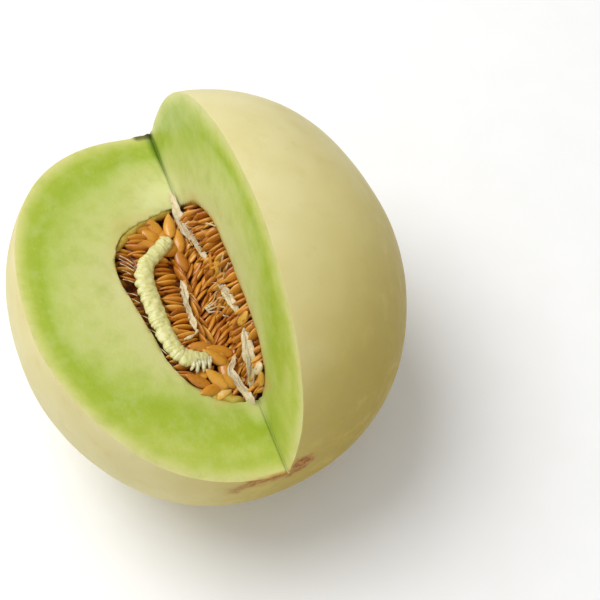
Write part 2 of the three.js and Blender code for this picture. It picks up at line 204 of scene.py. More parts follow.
def boolean(piece, cutter, operation):
    """Cuts or trims piece with cutter, applies it and discards the cutter."""
    step = piece.modifiers.new(operation, "BOOLEAN")
    step.operation = operation
    step.solver = "EXACT"
    step.object = cutter
    graph = bpy.context.evaluated_depsgraph_get()
    made = bpy.data.meshes.new_from_object(piece.evaluated_get(graph))
    old = piece.data
    piece.modifiers.clear()
    piece.data = made
    bpy.data.meshes.remove(old)
    mesh = cutter.data
    bpy.data.objects.remove(cutter)
    bpy.data.meshes.remove(mesh)


# -------- fold and cut faces


def fold_at(y):
    share = ((np.asarray(y, float) + HALF_LENGTH) / (2 * HALF_LENGTH))[..., None]
    return FOLD_AT_BLOSSOM * (1 - share) + FOLD_AT_STEM * share


class CutFace:
    """out runs in the face away from the fold, and up stands on the face out of the fruit."""

    def __init__(self, angle, side):
        self.out = np.array([-math.sin(angle), 0, math.cos(angle)])
        self.up = np.array([side * math.cos(angle), 0, side * math.sin(angle)])
        along = FOLD_AT_STEM - FOLD_AT_BLOSSOM
        self.along = along / np.linalg.norm(along)

    def offset(self, reach, depth):
        """A place in the cross-section, from the fold: along the face and below it."""
        return self.out * reach - self.up * depth

    def point(self, y, reach, depth):
        y, reach, depth = np.broadcast_arrays(y, reach, depth)
        place = fold_at(y)
        return place + reach[..., None] * self.out - depth[..., None] * self.up


left_face = CutFace(LEFT_FACE_ANGLE, 1)
right_face = CutFace(RIGHT_FACE_ANGLE, -1)
OPENING = (left_face.up + right_face.up) / np.linalg.norm(left_face.up + right_face.up)


def on(face, *places):
    """Part of a route that lies on one face: each place with that face before it."""
    return [(face, *place) for place in places]


# -------- melon

MELON_RINGS = 170
MELON_SIDES = 224
CAVITY_RINGS = 84
CAVITY_SIDES = 120
RIND_SINK = 0.3
RIND_LUMPS = (0.35, 42, 1), (0.12, 14, 2)
CAVITY_LUMPS = (1.0, 13, 4), (0.4, 4, 6)

# The stem scar's raised lip and pit: places as a share of its radius, heights in mm.
LIP_PLACE = 0.7
LIP_SPREAD = 0.27
LIP_HEIGHT = 1.5
LIP_LUMPS = (0.8, 2.4, 12)
LIP_TILT = (0, 8)
PIT_DEPTH = 0.9
PIT_SPREAD = 0.45

# Corky streaks at the blossom end: (x, z) points of each in mm, its half width and strength.
CORK_STREAKS = [
    ([(-24, -2), (-19.5, 0.2), (-15, 2.0)], 2.8, 0.5),
    ([(-16, 2.0), (-10.5, 1.0), (-6, 0.2)], 3.4, 0.7),
    ([(-9, 0.2), (-5.6, -0.2), (-2.6, -1.2)], 2.2, 1.0),
    ([(-1, -4.6), (0.8, -3), (2.6, -1.2)], 1.8, 0.8),
    ([(2.6, -1.4), (4.6, 0.6), (6.6, 2.2)], 3.0, 1.0),
    ([(2.4, 3.2), (3.8, 5), (6, 5.4)], 2.8, 1.0),
    ([(3, -4), (5, -2.2)], 1.6, 0.7),
]
CORK_FADE = (0.3, 1.3)
CORK_EDGE_SPREAD = 1.7
CORK_HEIGHT = 0.3
CORK_LUMPS = (1.6, 9)
CORK_RAGGED = (0.45, 3.0, 3), (0.35, 1.1, 4)
SCAR_FADE = (0.8, 1.1)
SCAR_RAGGED = 0.25
SCAR_HALO = 0.24
CORKY_ENDS = 0.85

# How the knife left the cut faces. Their grids run past the rind on all sides.
FACE_REACHES = np.concatenate([[0, 0.3, 0.7, 1.3], np.arange(2.4, 112, 1.6)])
FACE_STATIONS = np.arange(-96, 96.1, 1.8)
FLAT_NEAR_FOLD = (0.4, 12)
SCORE_STRETCH = 0.15
SLIT_DEPTH = 0.9
SLIT_WIDTH = 0.7

# The side towards which the rind is painted darker and more olive, as painted shade, given as a
# direction.
SHADED_OLIVE_SIDE = (0.62, -0.62, -0.46)


def fullness(s):
    middle = (STEM_FULLNESS + BLOSSOM_FULLNESS) / 2
    return middle + np.tanh(s / FULLNESS_CHANGE) * (STEM_FULLNESS - middle)


def melon_radius(s):
    s = np.clip(s, -1, 1)
    return RADIUS * np.maximum(0, 1 - np.abs(s) ** fullness(s)) ** (1 / END_BLUNTNESS)


def out_of_round(points, sign=1):
    """Widens the cross-section towards WIDEST_ANGLE and narrows it across, or undoes that."""
    c, s = math.cos(WIDEST_ANGLE), math.sin(WIDEST_ANGLE)
    wide = points[:, 0] * c + points[:, 2] * s
    narrow = -points[:, 0] * s + points[:, 2] * c
    wide = wide * (1 + OUT_OF_ROUND) ** sign
    narrow = narrow * (1 - OUT_OF_ROUND) ** sign
    return np.stack([wide * c - narrow * s, points[:, 1], wide * s + narrow * c], 1)


def egg_mesh(radius, half_length, rings, around):
    """A closed body of revolution round Y. radius gives the radii at shares of its length."""
    s = -np.cos(np.linspace(0, math.pi, rings))[1:-1]
    turn = np.linspace(0, 2 * math.pi, around, endpoint=False)
    sections = [
        np.stack([r * np.cos(turn), np.full(around, y), r * np.sin(turn)], 1)
        for r, y in zip(radius(s), half_length * s)
    ]
    poles = np.array([[0, -half_length, 0], [0, half_length, 0]])
    points = np.concatenate(sections + [poles])
    faces = grid_faces(len(sections), around, flip=True)
    first, last = len(points) - 2, len(points) - 1
    base = (len(sections) - 1) * around
    for k in range(around):
        after = (k + 1) % around
        faces.append((first, k, after))
        faces.append((last, base + after, base + k))
    return points, faces


def rind_depth(points):
    """How far each point lies below the rind, in mm."""
    round_points = out_of_round(points, -1)
    reach = np.hypot(round_points[:, 0], round_points[:, 2])
    s = points[:, 1] / HALF_LENGTH
    radial = melon_radius(s) - reach
    share = np.maximum(0, 1 - np.clip(reach / RADIUS, 0, 1) ** END_BLUNTNESS)
    axial = HALF_LENGTH * share ** (1 / fullness(s)) - np.abs(points[:, 1])
    radial, axial = np.maximum(radial, 0), np.maximum(axial, 0)
    return radial * axial / np.maximum(np.hypot(radial, axial), 1e-6)


def cavity_radius(s):
    """The cavity's radius at a share s of its half length from its middle."""
    round_part = np.sqrt(np.maximum(0, 1 - np.abs(s) ** CAVITY_FULLNESS))
    return CAVITY_RADIUS * round_part * (1 + CAVITY_SKEW * s)


def cavity_place(points):
    """Each point's share of the cavity's half length, and its distance from the middle line."""
    x, y, z = (np.asarray(points, float) - CAVITY_CENTRE).T
    y = y - CAVITY_SLANT[0] * x - CAVITY_SLANT[1] * z
    return y / CAVITY_HALF_LENGTH, np.hypot(x, z)


def cavity_room(points):
    """How far inside the cavity's wall each point lies, measured across the melon."""
    s, across = cavity_place(points)
    return cavity_radius(np.clip(s, -1, 1)) - across


def near_streak(points, line):
    """How far each point lies from a streak, seen along the melon."""
    flat = points[:, [0, 2]]
    best = np.full(len(points), np.inf)
    for a, b in zip(line[:-1], line[1:]):
        a, b = np.array(a, float), np.array(b, float)
        share = np.clip(((flat - a) @ (b - a)) / ((b - a) @ (b - a)), 0, 1)
        best = np.minimum(best, np.linalg.norm(flat - a - share[:, None] * (b - a), axis=1))
    return best


def from_scar(points):
    """How far each point lies from the stem scar's middle, seen along the melon."""
    x, z = STEM_SCAR_CENTRE
    return np.hypot(points[:, 0] - x, points[:, 2] - z)


def cork_share(points, spread=1.0):
    """How corky the rind is: the streaks of the blossom end, and the stem scar."""
    ragged = relief(points, *CORK_RAGGED, base=1)
    streak = np.zeros(len(points))
    for line, half_width, strength in CORK_STREAKS:
        away = near_streak(points, line) / (half_width * spread)
        streak = np.maximum(streak, strength * fade(away * ragged, *CORK_FADE))
    stem = from_scar(points) / (STEM_SCAR_RADIUS * spread)
    stem = stem * (1 - SCAR_RAGGED + SCAR_RAGGED * ragged)
    stem = fade(stem, *SCAR_FADE)
    y = points[:, 1] / HALF_LENGTH
    return np.where(y < -CORKY_ENDS, streak, 0), np.where(y > CORKY_ENDS, stem, 0)


def melon_outside():
    """The rind as a fine closed mesh, a little uneven, flat where it rests."""
    points, faces = egg_mesh(melon_radius, HALF_LENGTH, MELON_RINGS, MELON_SIDES)
    points = out_of_round(points)
    outward = from_middle(points)
    points = points + outward * (relief(points, *RIND_LUMPS) - RIND_SINK)[:, None]
    cork = CORK_HEIGHT * cork_share(points)[0] * lumps(points, *CORK_LUMPS)
    points = points + outward * cork[:, None]
    away = from_scar(points) / STEM_SCAR_RADIUS
    lip = np.exp(-(((away - LIP_PLACE) / LIP_SPREAD) ** 2))
    lip = lip * (LIP_HEIGHT + relief(points, LIP_LUMPS))
    lip = lip * (0.5 + smooth_step(points[:, 0], *LIP_TILT))
    pit = PIT_DEPTH * np.exp(-((away / PIT_SPREAD) ** 2))
    points[:, 1] += np.where(points[:, 1] > 0, lip - pit, 0)
    points[:, 2] = np.maximum(points[:, 2], -AXIS_HEIGHT)
    return points, faces


def wedge_cutter():
    """The removed wedge, with cut faces that wave as a knife leaves them."""
    sides = []
    for face, seed in ((left_face, 5), (right_face, 8)):
        y, reach = np.meshgrid(FACE_STATIONS, FACE_REACHES, indexing="ij")
        flat = face.point(y, reach, 0 * y).reshape(-1, 3)
        wave = relief(flat, (0.5, 34, seed), (0.14, 9, seed + 1))
        scored = np.stack([flat[:, 0], flat[:, 1] * SCORE_STRETCH, flat[:, 2]], 1)
        wave = wave + relief(scored, (0.08, 3.2, seed + 2))
        wave = wave * smooth_step(reach.ravel(), *FLAT_NEAR_FOLD)
        slit = SLIT_DEPTH * fade(reach.ravel(), 0, SLIT_WIDTH)
        sides.append((flat - face.up * (wave + slit)[:, None]).reshape(*y.shape, 3))
    left, right = sides
    middle = (left[:, 0] + right[:, 0]) / 2
    section = np.concatenate([right[:, :0:-1], middle[:, None], left[:, 1:]], 1)
    return section.reshape(-1, 3), tube_faces(*section.shape[:2], flip=False)


def cavity_body(clearance, roughness):
    """The seed cavity as a closed body, smaller by the clearance."""
    def radius(s):
        return np.maximum(cavity_radius(s) - clearance, 0.2 * cavity_radius(s))

    half_length = CAVITY_HALF_LENGTH - clearance
    points, faces = egg_mesh(radius, half_length, CAVITY_RINGS, CAVITY_SIDES)
    outward = from_middle(points)
    points[:, 1] += CAVITY_SLANT[0] * points[:, 0] + CAVITY_SLANT[1] * points[:, 2]
    points = points + CAVITY_CENTRE
    return points + outward * (roughness * relief(points, *CAVITY_LUMPS))[:, None], faces


def set_slots(piece, materials, index):
    for entry in materials:
        piece.data.materials.append(entry)
    piece.data.polygons.foreach_set("material_index", [index] * len(piece.data.polygons))


def melon_shading(points):
    """How pale, how creamy and how corky the melon is at each point, and where shade is painted
    on it.

    Distances are in mm: y along the melon, depth below the rind, and from the fold or cavity.
    """
    depth = rind_depth(points)
    share, across = cavity_place(points)
    past_wall = np.maximum(0, across - cavity_radius(np.clip(share, -0.85, 0.85)))
    past_end = np.maximum(0, np.abs(share) - 0.92) * CAVITY_HALF_LENGTH
    from_cavity = np.hypot(past_wall, past_end)
    y = points[:, 1]
    apart = points - fold_at(y)
    from_fold = np.linalg.norm(apart, axis=1)
    on_right = smooth_step(apart @ left_face.up, 0.3, 2.5)

    # The flesh is green below the rind, pale further in, and palest at the core of each end.
    blossom = fade(y, -62, -14)
    stem_core = smooth_step(y, 34, 52) * fade(y, 60, 72)
    stem_core = stem_core * fade(from_fold, 8 - 4 * on_right, 34 - 14 * on_right)
    blossom_core = np.exp(-(((y + 53) / 7) ** 2)) * fade(from_fold, 3, 10)
    inner = smooth_step(depth, 3, 12)
    rim = 0.42 * on_right * fade(depth, 8, 16)
    rim = rim * fade(y, 36, 66) * (1 - 0.8 * blossom)
    shallow = fade(depth, 2.5, 9)
    middle = 9 * np.exp(-(((y - 12) / 28) ** 2)) * smooth_step(depth, 6, 16)
    pale = depth * (1 - rim) * (1 - 0.42 * blossom * shallow)
    pale = pale + inner * relief(points, (4, 20, 21), (2, 8, 22)) + middle
    pale = pale * (1 - 0.66 * blossom * inner) + 24 * stem_core + 18 * blossom_core

    # Painted shade in the slit along the fold, strongest at the stem end.
    stem_end = smooth_step(y, 54, 78)
    slit = fade(from_fold, 0.3, 0.9 + 3.4 * stem_end)
    slit = slit * smooth_step(np.abs(y + 4), 46, 54) * (0.4 + 0.6 * stem_end)
    # Along the upper-left rim of the cavity the flesh gets painted shade: less creamy and
    # browner. Elsewhere the rim has a real brown stain.
    upper_rim = smooth_step(y, 20, 34) * smooth_step(from_fold, 6, 14) * (1 - on_right)
    creamy = fade(from_cavity, 0, 15)
    rim_brown = fade(from_cavity, 0.2, 2.6 + 1.6 * on_right) * (0.5 + 0.5 * on_right)
    upper_rim_shade = 0.5 * upper_rim * fade(from_cavity, 1, 8)

    cork, scar = cork_share(points)
    edge, scar_edge = cork_share(points, CORK_EDGE_SPREAD)
    skin = fade(depth, 0.3, 2.4)
    # Painted shade: the rind turns darker and more olive towards its shaded side.
    shaded_olive = from_middle(points) @ (np.array(SHADED_OLIVE_SIDE) / np.linalg.norm(SHADED_OLIVE_SIDE))
    return {
        "paleness": pale,
        "creamy": creamy * (1 - 0.75 * np.maximum(blossom, upper_rim)),
        "rim_brown": np.maximum(rim_brown, upper_rim_shade),
        "cork": cork * skin,
        "cork_edge": edge * skin,
        "scar": np.maximum(scar, SCAR_HALO * scar_edge) * fade(depth, 0.6, 3.0),
        "shaded_olive": smooth_step(shaded_olive, -0.35, 0.95),
        "slit": slit,
    }


def build_melon(rind, flesh):
    melon = make_mesh("melon_fruit", *melon_outside())
    set_slots(melon, (rind, flesh), 0)
    for name, shape in (("wedge", wedge_cutter()), ("cavity", cavity_body(0, 1))):
        cutter = make_mesh(name, *shape)
        set_slots(cutter, (rind, flesh), 1)
        boolean(melon, cutter, "DIFFERENCE")
    for name, values in melon_shading(coordinates(melon.data)).items():
        add_values(melon.data, name, values)
    finish_piece(melon, "melon", "melon")
    sharpen(melon)


def sharpen(piece):
    """Keeps the rim between rind and cut faces crisp, and all else smooth."""
    mesh = piece.data
    slots = np.empty(len(mesh.polygons), np.int32)
    mesh.polygons.foreach_get("material_index", slots)
    edge_slots = {}
    for polygon in mesh.polygons:
        for key in polygon.edge_keys:
            edge_slots.setdefault(key, set()).add(int(slots[polygon.index]))
    sharp = [len(edge_slots.get(edge.key, ())) > 1 for edge in mesh.edges]
    entry = mesh.attributes.get("sharp_edge") or mesh.attributes.new(
        "sharp_edge", "BOOLEAN", "EDGE"
    )
    entry.data.foreach_set("value", sharp)


# -------- sweeps

ROUTE_SAMPLES = 40


def blend(t, start, stop, a, b):
    """From a where t is start to b where t is stop, along a straight line."""
    return (stop - t) / (stop - start) * a + (t - start) / (stop - start) * b


def smooth_route(points, count):
    """count points at even spacing along a centripetal Catmull-Rom curve."""
    points = np.asarray(points, float)
    padded = np.concatenate(
        [[2 * points[0] - points[1]], points, [2 * points[-1] - points[-2]]]
    )
    dense = []
    for p0, p1, p2, p3 in zip(padded, padded[1:], padded[2:], padded[3:]):
        t0 = 0.0
        t1 = t0 + np.linalg.norm(p1 - p0) ** 0.5
        t2 = t1 + np.linalg.norm(p2 - p1) ** 0.5
        t3 = t2 + np.linalg.norm(p3 - p2) ** 0.5
        t = np.linspace(t1, t2, ROUTE_SAMPLES, endpoint=False)[:, None]
        a1 = blend(t, t0, t1, p0, p1)
        a2 = blend(t, t1, t2, p1, p2)
        a3 = blend(t, t2, t3, p2, p3)
        b1 = blend(t, t0, t2, a1, a2)
        b2 = blend(t, t1, t3, a2, a3)
        dense.append(blend(t, t1, t2, b1, b2))
    dense = np.concatenate(dense + [points[-1:]])
    steps = np.linalg.norm(np.diff(dense, axis=0), axis=1)
    length = np.concatenate([[0], np.cumsum(steps)])
    even = np.linspace(0, length[-1], count)
    return np.stack([np.interp(even, length, dense[:, k]) for k in range(3)], 1)


def sweep(route, rings, sides, up, size):
    """A closed body along a route. size(u, angle) gives half widths and half heights, for u
    from 0 to 1 along it. Angle 0 lies to the right of someone who walks it, with up above."""
    centres = smooth_route(route, rings)
    tangents = np.gradient(centres, axis=0)
    tangents /= np.linalg.norm(tangents, axis=1)[:, None]
    side = np.cross(tangents, up)
    side /= np.linalg.norm(side, axis=1)[:, None]
    lift = np.cross(side, tangents)
    turn = np.linspace(0, 2 * math.pi, sides, endpoint=False)
    u, angle = np.meshgrid(np.linspace(0, 1, rings), turn, indexing="ij")
    half_width, half_height = size(u, angle)
    points = (
        centres[:, None]
        + side[:, None] * (half_width * np.cos(angle))[..., None]
        + lift[:, None] * (half_height * np.sin(angle))[..., None]
    ).reshape(-1, 3)
    return points, tube_faces(rings, sides)


def closing(u, steepness):
    """Narrows a sheet or roll smoothly towards both ends."""
    return np.sqrt(np.clip(np.minimum(u, 1 - u) * steepness, 0.02, 1))


def between(u, values):
    """The value at a share u of a route, from the values at its points."""
    return np.interp(u, np.linspace(0, 1, len(values)), values)


def build_piece(name, bodies, look, slot, *nodes, tones=None):
    """Joins (points, faces) bodies into one piece with one material. tones is one a body."""
    all_points, all_faces, start = [], [], 0
    for points, faces in bodies:
        all_points.append(points)
        all_faces.extend([tuple(i + start for i in face) for face in faces])
        start += len(points)
    if tones:
        tones = np.repeat(tones, [len(points) for points in all_points])
    piece = make_mesh(name, np.concatenate(all_points), all_faces, tones)
    piece.data.materials.append(look)
    finish_piece(piece, slot, *nodes)


# -------- seeds

SEED_RINGS = 11
SEED_SIDES = 12
SEED_END_WIDTH = 0.05
SEED_END_THICKNESS = 0.08
SEED_BEND = 0.28
SEED_PLUMPNESS = (0.85, 1.2)

# How far a packed seed strays from its row's rule either way, in degrees, shares and mm.
YAW_STRAY = 14
LIFT_STRAY = 11
TILT_STRAY = 0.5
REACH_STRAY = 1.3
DEPTH_STRAY = 0.7
PACKED_SIZES = (0.88, 1.1)
PITCH_SHARES = (0.75, 1.25)
SWING_SETS_IN = (4, 22)
ROOM_FOR_SEED = 1

# The same for a loose seed, and its size, larger than a packed one's.
LOOSE_YAW_STRAY = 6
LOOSE_RISE = (-0.1, 0.2)
LOOSE_TILT = (0.1, 0.5)
LOOSE_SCALE = (1.14, 1.14, 1.4)

SEED_CLEARANCE = 0.4
SHARE_INSIDE = 0.75

# A row of seeds: where it runs below its cut face, how the seeds turn away from the fold and
# rise off the face in degrees, where it starts and stops along the melon, its pitch, and how
# much further its seeds turn towards the stem end.
Row = namedtuple("Row", "face reach depth yaw lift start stop pitch swing", defaults=(0,))

LEFT_ROWS = [
    Row(left_face, 9.8, 3.2, 84, 0, -26, 30, 4.2),
    Row(left_face, 11.8, 1.8, 82, 0, -24, 20, 4.2),
    Row(left_face, 18.8, 1.4, 8, 4, -24, 24, 2.1),
    Row(left_face, 25, 2.2, 14, 6, -36, 34, 2.5),
    Row(left_face, 31.5, 5.6, 18, 8, 16, 34, 2.4),
    Row(left_face, 31.5, 10.5, 18, 4, -26, 14, 2.6),
    Row(left_face, 36, 8.0, 18, 14, 15, 30, 2.6),
    Row(left_face, 36, 13.0, 18, 10, -16, 12, 2.8),
    Row(left_face, 17, 3.6, 30, 4, -42, 42, 4),
]
RIGHT_ROWS = [
    Row(left_face, 5.6, 2.9, 140, 12, -44, 40, 2.9),
    Row(left_face, 1.6, 1.8, 145, 26, -48, 41, 2.9),
    Row(right_face, 3.6, 1.2, 30, -50, -48, 41, 2.8),
    Row(right_face, 10.5, 1.6, 14, -62, -50, 38, 2.4, -48),
    Row(right_face, 17.5, 1.7, 14, -66, -49, 34, 2.4, -44),
    Row(right_face, 24, 2.0, 14, -68, -44, 29, 2.4, -40),
    Row(right_face, 29, 2.6, 14, -68, -30, 22, 2.4, -30),
]

# Loose seeds: distance along the melon, reach, depth, heading and paleness.
LEFT_LOOSE = [
    (41.5, 11.5, 0.9, -7, 0.8), (35.2, 8.6, -0.4, 102, 0.9), (28, 6.8, 0.2, 100, 0.8),
    (24.2, 12.4, 0.2, -14, 0.7), (30.5, 12.4, 1.6, 110, 0.6), (37.5, 14.5, 1.8, 60, 0.7),
    (37, 19.5, 2.4, 25, 0.5), (33, 24, 2.8, 35, 0.6), (33, 17, 2.2, 50, 0.7),
    (29.5, 20, 2.2, 30, 0.5), (39, 22, 3.6, 20, 0.4), (20, 8.4, 1.4, 80, 0.4),
    (-21.3, 15.4, 0.2, 19, 0.45), (-27, 11.8, -0.4, 45, 0.8), (-24.6, 8.3, 0.2, 30, 0.7),
    (-35, 22.4, 0.4, 33, 0.35), (-36.2, 14.5, -0.2, 54, 0.9), (-38, 10, 0.3, 31, 0.9),
    (-40.3, 17.9, 0.8, -10, 0.6), (-30, 28.4, 2.4, 68, 0.2), (-31, 8.6, 0.8, 100, 0.6),
    (-32, 18, 0.9, 160, 0.7), (-42.4, 14.6, 1.8, 165, 1.2), (-40.5, 13, 1.8, 60, 0.7),
    (42.6, 7.4, 1.6, 150, 0.7), (43.2, 15.8, 2.2, 8, 0.6), (40.6, 21, 3.0, 20, 0.5),
    (37, 27, 3.6, 30, 0.5), (43.4, 3, 2.4, 60, 0.5),
]
RIGHT_LOOSE = [
    (3.3, 18.4, -1.4, 4, 1.1), (-24.2, 23, -0.8, -17, 1.1), (41, 4, 1.8, 75, 0.6),
    (-43.4, 17, -1.0, -19, 1.6), (-46.6, 14, -0.4, -8, 1.0), (-20, 4, 0.2, 70, 0.5),
    (42.4, 8, 1.4, 10, 0.5), (40.4, 14, 1.2, 12, 0.5), (37.4, 20, 1.6, 14, 0.6),
    (8, 11, -0.6, 20, 0.7), (-3, 4, -0.2, 40, 0.4),
]

# The pulp runs past the cavity on all sides, and is trimmed to it. The two banks part, with
# a small gap, along a line that is PULP_PARTING to the right by FAR below the fold. A side
# of an outline is divided as if it were PULP_LONGEST_SIDE at most.
FAR = 62.0
PULP_PARTING = 0.51 * FAR
PULP_GAP = 0.6
PULP_END = 60
PULP_LONGEST_SIDE = 60
PULP_STEP = 2.2
PULP_ROUGHNESS = 0.7
PULP_LUMPS = 5
PULP_CLEARANCE = 0.5
PULP_WAVE = 0.4


def make_random(seed):
    """The same draw every time: a small linear congruential generator."""
    state = [seed]

    def random(low, high):
        state[0] = (state[0] * 1103515245 + 12345) % 2**31
        return low + (high - low) * (state[0] / 2**31)

    return random


def seed_shape(bend, plump):
    """One seed: pointed at its root, round at its tip, flat, with a raised rim."""
    u = np.linspace(0, 1, SEED_RINGS)
    outline = np.sin(math.pi * u ** 0.82) ** 0.72
    outline[0] = outline[-1] = SEED_END_WIDTH
    body = np.sin(math.pi * u ** 0.9) ** 0.6
    body[0] = body[-1] = SEED_END_THICKNESS
    turn = np.linspace(0, 2 * math.pi, SEED_SIDES, endpoint=False)
    u, angle = np.meshgrid(u, turn, indexing="ij")
    across = np.sign(np.cos(angle)) * np.abs(np.cos(angle)) ** 0.9
    through = np.sign(np.sin(angle)) * np.abs(np.sin(angle)) ** 1.15
    x = 0.5 * SEED_WIDTH * outline[:, None] * across
    y = SEED_LENGTH * (u - 0.5)
    z = 0.5 * SEED_THICKNESS * plump * body[:, None] * through
    z = z + bend * (u - 0.5) ** 2 * SEED_LENGTH
    return np.stack([x, y, z], -1).reshape(-1, 3), tube_faces(SEED_RINGS, SEED_SIDES)


def place_seed(centre, lengthways, widthways, scale, random):
    """A seed as (points, faces, tone). scale is one number, or one for each direction."""
    points, faces = seed_shape(random(-SEED_BEND, SEED_BEND), random(*SEED_PLUMPNESS))
    points = points * np.asarray(scale)
    y = lengthways / np.linalg.norm(lengthways)
    z = np.cross(widthways, y)
    z /= np.linalg.norm(z)
    x = np.cross(y, z)
    return points @ np.stack([x, y, z]) + centre, faces, random(0, 1)


def seed_row(row, random):
    """Seeds stacked like cards along the fold, as in the solids but closer."""
    face = row.face
    seeds = []
    y = row.start + random(0, row.pitch)
    while y < row.stop:
        if cavity_room(face.point(y, row.reach, row.depth)[None])[0] > ROOM_FOR_SEED:
            swing = row.swing * smooth_step(y, *SWING_SETS_IN)
            turn = math.radians(row.yaw + swing + random(-YAW_STRAY, YAW_STRAY))
            rise = math.radians(row.lift + random(-LIFT_STRAY, LIFT_STRAY))
            lengthways = (
                face.out * math.cos(rise) * math.cos(turn)
                + face.along * math.cos(rise) * math.sin(turn)
                + face.up * math.sin(rise)
            )
            widthways = (
                face.up * math.cos(rise)
                - face.out * math.sin(rise)
                + face.along * random(-TILT_STRAY, TILT_STRAY)
            )
            reach = row.reach + random(-REACH_STRAY, REACH_STRAY)
            depth = row.depth + random(-DEPTH_STRAY, DEPTH_STRAY)
            size = random(*PACKED_SIZES)
            centre = face.point(y, reach, depth)
            seeds.append(place_seed(centre, lengthways, widthways, size, random))
        y += row.pitch * random(*PITCH_SHARES)
    return seeds


def flat_seed(face, place, random):
    """A seed lying loose on the bank, given by its place, heading and paleness."""
    y, reach, depth, heading, pale = place
    turn = math.radians(heading + random(-LOOSE_YAW_STRAY, LOOSE_YAW_STRAY))
    lengthways = face.out * math.cos(turn) + face.along * math.sin(turn)
    lengthways = lengthways + face.up * random(*LOOSE_RISE)
    widthways = np.cross(lengthways, face.up) + face.up * random(*LOOSE_TILT)
    centre = face.point(y, reach, depth)
    points, faces, _ = place_seed(centre, lengthways, widthways, LOOSE_SCALE, random)
    return points, faces, pale


def inside_cavity(points):
    """True if most of a seed's points lie inside the seed cavity."""
    return np.mean(cavity_room(points) > SEED_CLEARANCE) > SHARE_INSIDE


def left_pulp_outline():
    surface = [(8.6, 7), (11, 4), (15, 3.2), (28, 4), (32, 12), (FAR, 15)]
    below = [(-FAR, 0, -FAR), (PULP_PARTING, 0, -FAR)]
    return [left_face.offset(*place) for place in surface] + below


def right_pulp_outline():
    surface = [right_face.offset(*place) for place in ((FAR, 5.6), (12, 5.4), (5, 5.2))]
    return [
        left_face.offset(8.1, 7),
        (PULP_PARTING + PULP_GAP, 0, -FAR),
        (FAR, 0, -FAR),
        *surface,
        (1.3, 0, -2.6),
        left_face.offset(5, 5),
    ]


def fold_prism(outline, seed):
    """An outline in the cross-section, given from the fold, carried along it end to end."""
    corners = np.asarray(outline, float)
    pieces = []
    for a, b in zip(corners, np.roll(corners, -1, axis=0)):
        length = min(np.linalg.norm(b - a), PULP_LONGEST_SIDE)
        count = max(1, int(length / PULP_STEP))
        pieces.append(a + (b - a) * np.linspace(0, 1, count, endpoint=False)[:, None])
    section = np.concatenate(pieces)
    stations = np.arange(-PULP_END, PULP_END + 0.1, PULP_STEP)
    points = (fold_at(stations)[:, None] + section[None]).reshape(-1, 3)
    x_wave, z_wave = lumps(points, PULP_LUMPS, seed), lumps(points, PULP_LUMPS, seed + 1)
    points = points + PULP_ROUGHNESS * np.stack([x_wave, np.zeros(len(points)), z_wave], 1)
    return points, tube_faces(len(stations), len(section))


def build_bank(side, face, outline, rows, loose, seed, paler, seed_look, pulp_look):
    """The seeds of one bank, paler by that share, and the pulp that holds them."""
    random = make_random(seed)
    seeds = [one for row in rows for one in seed_row(row, random)]
    seeds += [flat_seed(face, place, random) for place in loose]
    seeds = [one for one in seeds if inside_cavity(one[0])]
    bodies = [(points, faces) for points, faces, _ in seeds]
    tones = [max(tone, tone + paler * (1 - tone)) for *_, tone in seeds]
    build_piece(f"seeds_{side}", bodies, seed_look, "seeds", f"seeds_{side}_bank", tones=tones)

    pulp = make_mesh(f"pulp_{side}", *fold_prism(outline, seed))
    space = make_mesh("space", *cavity_body(PULP_CLEARANCE, PULP_WAVE))
    boolean(pulp, space, "INTERSECT")
    pulp.data.materials.clear()
    pulp.data.materials.append(pulp_look)
    finish_piece(pulp, "seeds", f"seeds_{side}_bank")


# -------- lining

LINING_RINGS = 70
LINING_SIDES = 22
LINING_CLOSING = 8
LINING_SEED = 60

# Soft flesh that lines the two ends of the cavity just under its rim: the face, and points
# as distance along the melon, reach, depth and half thickness.
LININGS = [
    (left_face, [
        (29, 35.4, 3.0, 1.4), (33, 31.4, 2.6, 2.0), (36.8, 26.4, 2.4, 2.3),
        (39.8, 20.8, 2.3, 2.4), (42, 14.6, 2.3, 2.4), (43.4, 8.6, 2.3, 2.4), (44.4, 3, 2.3, 2.0),
    ]),
    (right_face, [
        (46, -2, 2.2, 1.8), (44.4, 3.4, 2.2, 2.3), (41.4, 8.6, 2.2, 2.4), (37.6, 13.4, 2.2, 2.0),
        (33, 17.5, 2.3, 1.4),
    ]),
    (left_face, [
        (-32, 30, 2.6, 1.0), (-37, 25.4, 2.6, 1.7), (-40.6, 20.4, 2.6, 2.0),
        (-43.4, 15.4, 2.6, 2.2), (-45.6, 10, 2.6, 2.3), (-46.8, 4.4, 2.4, 2.2),
    ]),
    (right_face, [(-50, 1, 2.6, 1.6), (-51.5, 6, 2.6, 2.0), (-52, 12, 2.6, 1.4)]),
]


def build_lining(look):
    bodies = []
    for seed, (face, route) in enumerate(LININGS):
        def size(u, angle):
            half = between(u, [half for *_, half in route]) * closing(u, LINING_CLOSING)
            return half * (1 + 0.1 * np.sin(u * 40 + seed)), half * 0.9

        places = [face.point(y, reach, depth) for y, reach, depth, _ in route]
        points, faces = sweep(places, LINING_RINGS, LINING_SIDES, face.up, size)
        first = LINING_SEED + seed
        crumple = relief(points, (0.45, 2.6, first), (0.2, 1.1, first + 10))
        bodies.append((points + OPENING * crumple[:, None], faces))
    build_piece("lining", bodies, look, "seeds", "seeds_left_bank")


# -------- ribbon

